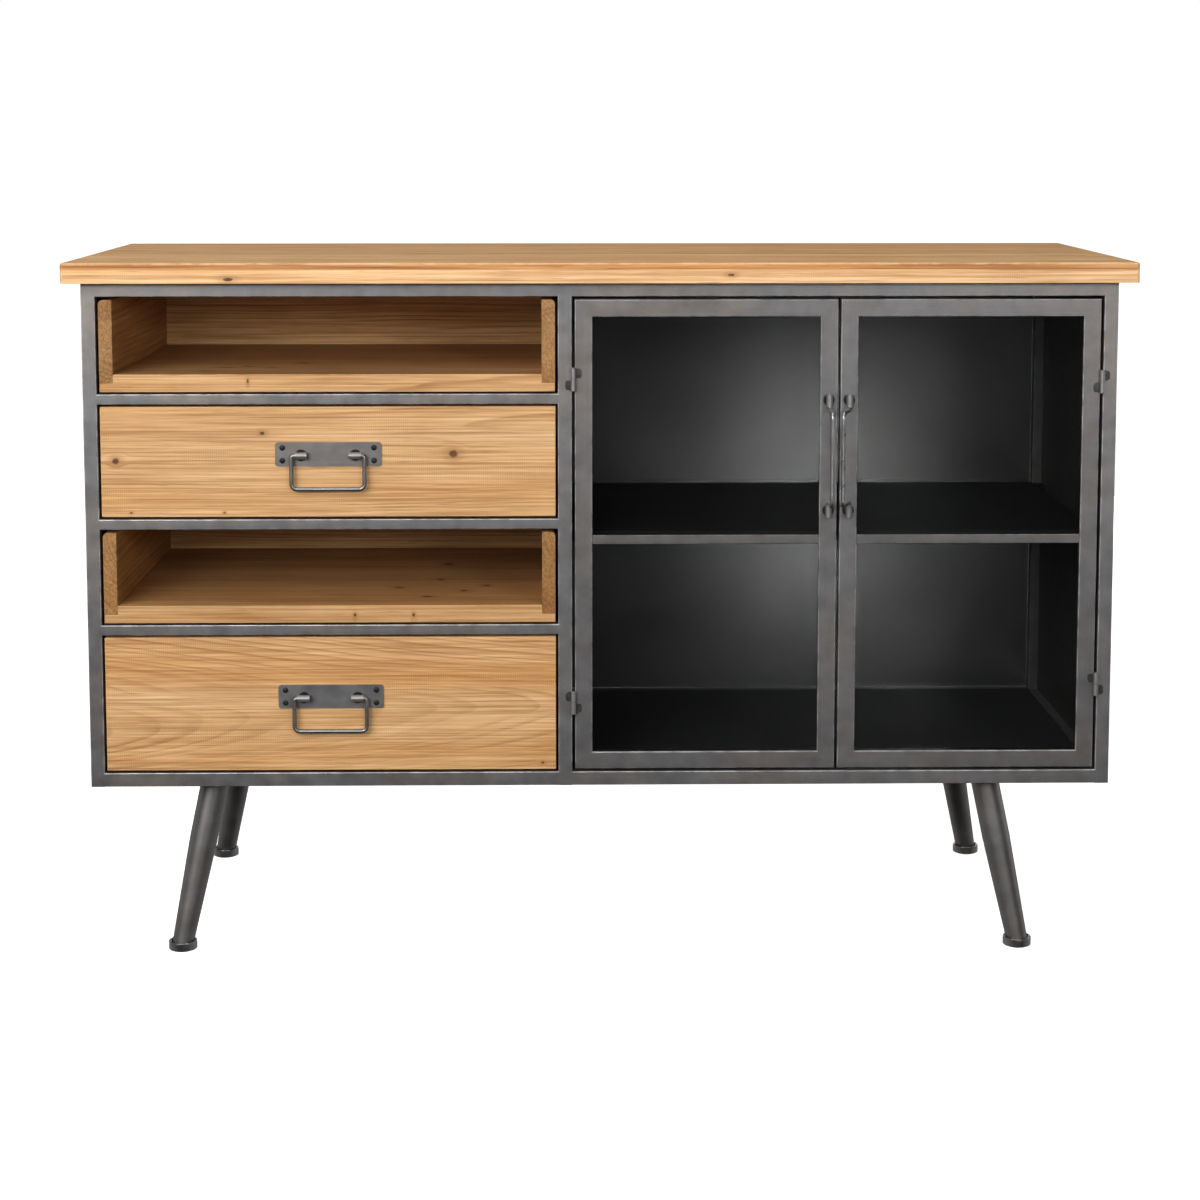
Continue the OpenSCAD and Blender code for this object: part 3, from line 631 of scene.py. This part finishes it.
# the shelf sheet is black, and darker still than black paint: painted shade for the inside of the cupboard
M_SHELF = sheet_steel("shelf_sheet", (0.007, 0.007, 0.0075), 0.0, 0.60, 0.04)
M_DECK = sheet_steel("deck_sheet", (0.020, 0.020, 0.0205), 0.0, 0.55, 0.25)
M_ZINC = zinc_plate("zinc_plate")
M_RUBBER = dull_black("black_rubber", (0.018, 0.018, 0.018), 0.62)
M_PLASTIC = dull_black("black_plastic", (0.025, 0.025, 0.026), 0.5)
M_GLASS = window_glass("clear_glass")

# --- the top -------------------------------------------------------------------------------------

top_low, top_high = box_corners("top_boards")
core_low = box_corners("top_core")[0]


def at_rim(p):
    """True on the outer edge of the top, corner rounds included."""
    near_end = min(abs(p.x - top_low.x), abs(p.x - top_high.x)) < 3.7 * MM
    near_side = min(abs(p.y - top_low.y), abs(p.y - top_high.y)) < 3.7 * MM
    return near_end or near_side


def board_widths(e):
    """Round corners and a soft upper rim; the joints between boards are only eased."""
    middle = (e.verts[0].co + e.verts[1].co) / 2
    d = direction(e)
    ends = all(at_rim(v.co) for v in e.verts) and at_rim(middle)
    if abs(d.z) > 0.9:
        corner = min(abs(middle.y - top_low.y), abs(middle.y - top_high.y)) < MM
        return 3.6 if corner else None
    if abs(middle.z - top_high.z) < 0.05 * MM:
        return 2.4 if ends else 0.35
    return 0.25 if ends else None


def core_widths(e):
    """Round corners and a soft lower rim."""
    middle = (e.verts[0].co + e.verts[1].co) / 2
    if not at_rim(middle):
        return None
    if abs(direction(e).z) > 0.9:
        return 3.6
    return 2.0 if abs(middle.z - core_low.z) < 0.05 * MM else 0.25


dress("top_boards_fir", "top_boards", board_widths, 3, M_TOP)
dress("top_core_fir", "top_core", core_widths, 3, M_CORE)

# --- frame ---------------------------------------------------------------------------------------

# a rail's ends run over the rounded arrises of the posts that it is welded to
WELD_GAP = 1.2 * MM

for node, gap, material in (("front_posts", 0.0, M_STEEL), ("rear_posts", 0.0, M_SHELL),
                            ("front_rails", WELD_GAP, M_STEEL), ("rear_rails", WELD_GAP, M_SHELL),
                            ("side_rails", WELD_GAP, M_SHELL), ("bay_rails", WELD_GAP, M_STEEL),
                            ("leg_rails", 0.0, M_STEEL)):
    dress(node + "_tube", node, tube_edges(1.1), 3, material, gap=gap)

for node, material in (("side_panels", M_SHELL), ("back_panel", M_SHEET), ("partition_panel", M_SHEET),
                       ("floor_panel", M_DECK), ("shelf", M_SHELF), ("shelf_brackets", M_SHELF),
                       ("runner_angles", M_SHELF), ("top_tabs", M_SHELF)):
    dress(node + "_sheet", node, long_edges(0.25), 2, material)

dress("leg_plates_steel", "leg_plates", long_edges(0.6), 2, M_STEEL)
dress("legs_steel", "legs", long_edges(0.6, 0.0), 3, M_LEG)
dress("foot_cups_steel", "foot_cups", long_edges(0.6, 0.0), 3, M_CUP)

for node, material in (("top_screws", M_ZINC), ("leg_bolts", M_ZINC), ("hinge_pins", M_ZINC),
                       ("foot_pads", M_RUBBER), ("magnet_catches", M_PLASTIC)):
    dress(node + "_made", node, long_edges(0.3, 0.0), 2, material)


def ear_widths(e):
    """The corners of a hinge's welded ear are well rounded."""
    if abs(direction(e).y) > 0.99 and e.calc_length() > 1.2 * MM:
        return 3.0
    return 0.35


dress("post_knuckles_steel", "post_knuckles", ear_widths, 3, M_KNUCKLE)

# --- trays ---------------------------------------------------------------------------------------


def side_widths(node):
    """The outer upper arris of each side board is rounded over; the others are only eased."""
    low, high = box_corners(node)

    def width(e):
        middle = (e.verts[0].co + e.verts[1].co) / 2
        if e.calc_length() < 8 * MM:
            return None
        outer = min(abs(middle.x - low.x), abs(middle.x - high.x)) < 0.05 * MM
        return 4.5 if outer and abs(middle.z - high.z) < 0.05 * MM else 0.8

    return width


for body, material in (("tray_upper", M_TRAY_UP), ("tray_lower", M_TRAY_LOW)):
    dress(body + "_bottom_board", body + "_bottom", long_edges(0.8), 3, material)
    dress(body + "_side_boards", body + "_sides", side_widths(body + "_sides"), 4, M_SIDE)
    dress(body + "_back_board", body + "_back", long_edges(0.8), 3, M_REAR)

# --- drawers -------------------------------------------------------------------------------------

# the length of a bail's pins, and the radii of its four bends
PIN = 12.5 * MM
BENDS = (3 * MM, 6 * MM, 6 * MM, 3 * MM)


def hanging_bail(node):
    """A drawer's bail: pins that point inwards, rounded shoulders, two arms and a grip."""
    low, high = box_corners(node)
    r = (high.y - low.y) / 2
    y = (low.y + high.y) / 2
    axis_z, grip_z = high.z - r, low.z + r
    left, right = low.x + r, high.x - r
    corners = [(left + PIN, axis_z), (left, axis_z), (left, grip_z),
               (right, grip_z), (right, axis_z), (right - PIN, axis_z)]
    path = rounded_path([Vector((x, y, z)) for x, z in corners], BENDS)
    return sweep(path, r, Vector((0, 1, 0)))


def pan_screws(node):
    """Domed screws with a cross recess, standing where the CAD screws stand."""
    source = cad_mesh(node)
    made = bmesh.new()
    made.faces.layers.float.new("rounded_edge")
    for part in islands(source):
        low, high = box_of(part)
        centre = Vector(((low.x + high.x) / 2, low.y, (low.z + high.z) / 2))
        r = (high.x - low.x) / 2
        # each screw was driven home at an angle of its own
        turn = (centre.x * 977 + centre.z * 313) % math.pi
        rings, sides = 12, 40
        rows = []
        for n in range(rings + 1):
            s = n / rings
            row = []
            for k in range(sides if n else 1):
                a = 2 * math.pi * k / sides
                x, z = s * r * math.cos(a), s * r * math.sin(a)
                u = abs(x * math.cos(turn) + z * math.sin(turn))
                v = abs(z * math.cos(turn) - x * math.sin(turn))
                dome = 1.4 * MM * s ** 4
                slot = 0.6 * MM if min(u, v) < 0.42 * MM and max(u, v) < 1.7 * MM else 0.0
                row.append(made.verts.new(centre + Vector((x, dome + slot, z))))
            rows.append(row)
        for k in range(sides):
            made.faces.new((rows[0][0], rows[1][k], rows[1][(k + 1) % sides]))
            for a, b in zip(rows[1:], rows[2:]):
                made.faces.new((a[k], b[k], b[(k + 1) % sides], a[(k + 1) % sides]))
    source.free()
    bmesh.ops.recalc_face_normals(made, faces=made.faces)
    return made


def plate_widths(e):
    """A pull plate's front and rear outlines are eased; its corners are left as they are."""
    return 0.45 if abs(e.verts[0].co.y - e.verts[1].co.y) < 0.01 * MM else None


for body, material, heart in (("drawer_upper", M_DRAWER_UP, None),
                              ("drawer_lower", M_DRAWER_LOW, (0.43, 25 * MM))):
    dress(body + "_front_board", body + "_front", long_edges(1.0), 3, material, heart)
    for end in ("_sides", "_bottom"):
        dress(body + end + "_boards", body + end, long_edges(0.6), 2, M_INNER)
    dress(body + "_pull_plate_steel", body + "_pull_plate", plate_widths, 2, M_STEEL)
    dress(body + "_pull_posts_steel", body + "_pull_posts", long_edges(0.35, 0.0), 2, M_POST)
    finish(pan_screws(body + "_pull_screws"), body + "_pull_screws_steel", body + "_pull_screws", M_BLACK)
    finish(hanging_bail(body + "_bail"), body + "_bail_rod", body + "_bail", M_ROD)

# --- doors ---------------------------------------------------------------------------------------

BAIL_RADIUS = 2.5 * MM
BAIL_REACH = 34.5 * MM
BAIL_LEAN = math.radians(18)


def standing_bail(node, joint, out):
    """A door's bail: pins that point up and down, two arms and a grip, out along a level direction."""
    low, high = box_corners(node)
    pivot = Vector((joint["pos_m"][0], joint["pos_m"][1], (low.z + high.z) / 2))
    end = (high.z - low.z) / 2
    arm = end - PIN
    corners = [(0, end), (0, arm), (BAIL_REACH, arm), (BAIL_REACH, -arm), (0, -arm), (0, -end)]
    path = rounded_path([pivot + out * u + Vector((0, 0, w)) for u, w in corners], BENDS)
    return sweep(path, BAIL_RADIUS, out.cross(Vector((0, 0, 1))))


STRAIGHT = Vector((0, -1, 0))
LEANING = Vector((-math.sin(BAIL_LEAN), -math.cos(BAIL_LEAN), 0))
for body, out in (("door_left", STRAIGHT), ("door_right", LEANING)):
    dress(body + "_frame_steel", body + "_frame", tube_edges(1.2), 3, M_DOOR, gap=0.1 * MM)
    dress(body + "_muntin_steel", body + "_muntin", tube_edges(0.5), 2, M_BAR)
    dress(body + "_beads_steel", body + "_beads", tube_edges(0.5), 2, M_SHEET)
    dress(body + "_glass_pane", body + "_glass", long_edges(0.4), 2, M_GLASS)
    dress(body + "_knuckles_steel", body + "_knuckles", ear_widths, 3, M_KNUCKLE)
    dress(body + "_bail_posts_steel", body + "_bail_posts", long_edges(0.35, 0.0), 3, M_POST)
    bm = standing_bail(body + "_bail", JOINTS[body + "_handle_pivot"], out)
    finish(bm, body + "_bail_rod", body + "_bail", M_GRIP)

# --- floor, light and camera ---------------------------------------------------------------------

bm = bmesh.new()
bmesh.ops.create_grid(bm, x_segments=2, y_segments=2, size=60)
data = bpy.data.meshes.new("studio_floor")
bm.to_mesh(data)
bm.free()
floor = bpy.data.objects.new("studio_floor", data)
bpy.context.collection.objects.link(floor)
g = Graph("studio_floor")
pale = g.gain((0.9, 0.9, 0.9), g.add(0.98, g.mul(g.noise(g.place(), 3.0), 0.04)))
matt = g.node("BsdfDiffuse", None, {"Color": pale})
away = g.step(g.vector("LENGTH", g.place()), 1.5, 7.0, 0.90, 1.06)
lit = g.node("Emission", None, {"Color": (1, 1, 1, 1), "Strength": away})
data.materials.append(g.done(g.node("AddShader", None, {0: matt.outputs[0], 1: lit.outputs[0]}).outputs[0]))
floor.visible_diffuse = False
floor.visible_glossy = False


def softbox(name, place, target, size, power):
    """A rectangular studio light that looks at the target."""
    light = bpy.data.lights.new(name, "AREA")
    light.shape = "RECTANGLE"
    light.size, light.size_y = size
    light.energy = power
    holder = bpy.data.objects.new(name, light)
    bpy.context.collection.objects.link(holder)
    holder.location = place
    holder.rotation_euler = (Vector(target) - Vector(place)).to_track_quat("-Z", "Y").to_euler()
    return holder


softbox("key", (-2.1, -3.7, 2.5), (0, 0, 0.5), (3.4, 2.6), 140)
softbox("front", (-1.4, -3.6, 1.45), (0, 0, 0.5), (1.3, 0.7), 26)
softbox("fill", (1.4, -3.5, 1.4), (0, 0, 0.5), (0.8, 0.7), 30)
softbox("rear", (0.5, 3.4, 0.32), (0, 0, 0.45), (3.0, 0.8), 40)
softbox("right_side", (3.6, 0.6, 0.4), (0, 0, 0.4), (2.0, 0.7), 13)
softbox("left_side", (-3.6, 0.6, 0.4), (0, 0, 0.4), (2.0, 0.7), 7)
softbox("overhead", (0, -0.4, 3.0), (0, 0, 0.5), (2.5, 1.5), 25)
# only a sheen on the back of the cupboard, without shadows of the door frames in front of it
glow = softbox("low_front", (0.61, -2.92, 0.0), (0.31, 0.2, 0.45), (0.22, 0.55), 2.25)
glow.data.use_shadow = False
glow.data.cycles.use_multiple_importance_sampling = False

world = bpy.data.worlds.new("studio")
bpy.context.scene.world = world
world.use_nodes = True
tree = world.node_tree
tree.nodes.clear()
coord = tree.nodes.new("ShaderNodeTexCoord")
split = tree.nodes.new("ShaderNodeSeparateXYZ")
tree.links.new(coord.outputs["Generated"], split.inputs[0])


def sky_slope(part, start, end, low, high):
    """A strength that goes from low to high while one part of the direction goes from start to end."""
    made = tree.nodes.new("ShaderNodeMapRange")
    for name, value in (("From Min", start), ("From Max", end), ("To Min", low), ("To Max", high)):
        made.inputs[name].default_value = value
    tree.links.new(part, made.inputs[0])
    return made.outputs[0]


def sky_math(operation, a, b):
    """One sum or product of two strengths."""
    made = tree.nodes.new("ShaderNodeMath")
    made.operation = operation
    tree.links.new(a, made.inputs[0])
    tree.links.new(b, made.inputs[1])
    return made.outputs[0]


# dim below and a little brighter above, with a pale floor behind and beside; the camera sees plain white
to_right, to_back, up = split.outputs
sideways = sky_math("MULTIPLY", to_right, to_right)
behind = sky_math("MULTIPLY", sky_slope(to_back, 0.1, 0.6, 0.0, 0.40), sky_slope(up, -0.12, 0.0, 1.0, 0.0))
beside = sky_math("MULTIPLY", sky_slope(sideways, 0.3, 0.8, 0.0, 0.50), sky_slope(up, -0.35, -0.15, 1.0, 0.0))
glow_from_all = sky_math("ADD", sky_slope(up, -0.3, 0.3, 0.0, 0.11), sky_math("ADD", behind, beside))
path = tree.nodes.new("ShaderNodeLightPath")
seen = tree.nodes.new("ShaderNodeMix")
seen.data_type = "FLOAT"
tree.links.new(path.outputs["Is Camera Ray"], seen.inputs[0])
tree.links.new(glow_from_all, seen.inputs[2])
seen.inputs[3].default_value = 1.0
background = tree.nodes.new("ShaderNodeBackground")
background.inputs["Color"].default_value = (1, 1, 1, 1)
out = tree.nodes.new("ShaderNodeOutputWorld")
tree.links.new(seen.outputs[0], background.inputs["Strength"])
tree.links.new(background.outputs[0], out.inputs["Surface"])

camera = bpy.data.objects.new("camera", bpy.data.cameras.new("camera"))
bpy.context.collection.objects.link(camera)
camera.data.sensor_width = 36
camera.data.lens = 73.27
camera.data.shift_y = -0.18
camera.location = (-0.0438, -2.9189, 0.9495)
camera.rotation_euler = (math.pi / 2 - 0.1059, 0, -0.0155)
bpy.context.scene.camera = camera
bpy.context.scene.view_settings.view_transform = "Standard"
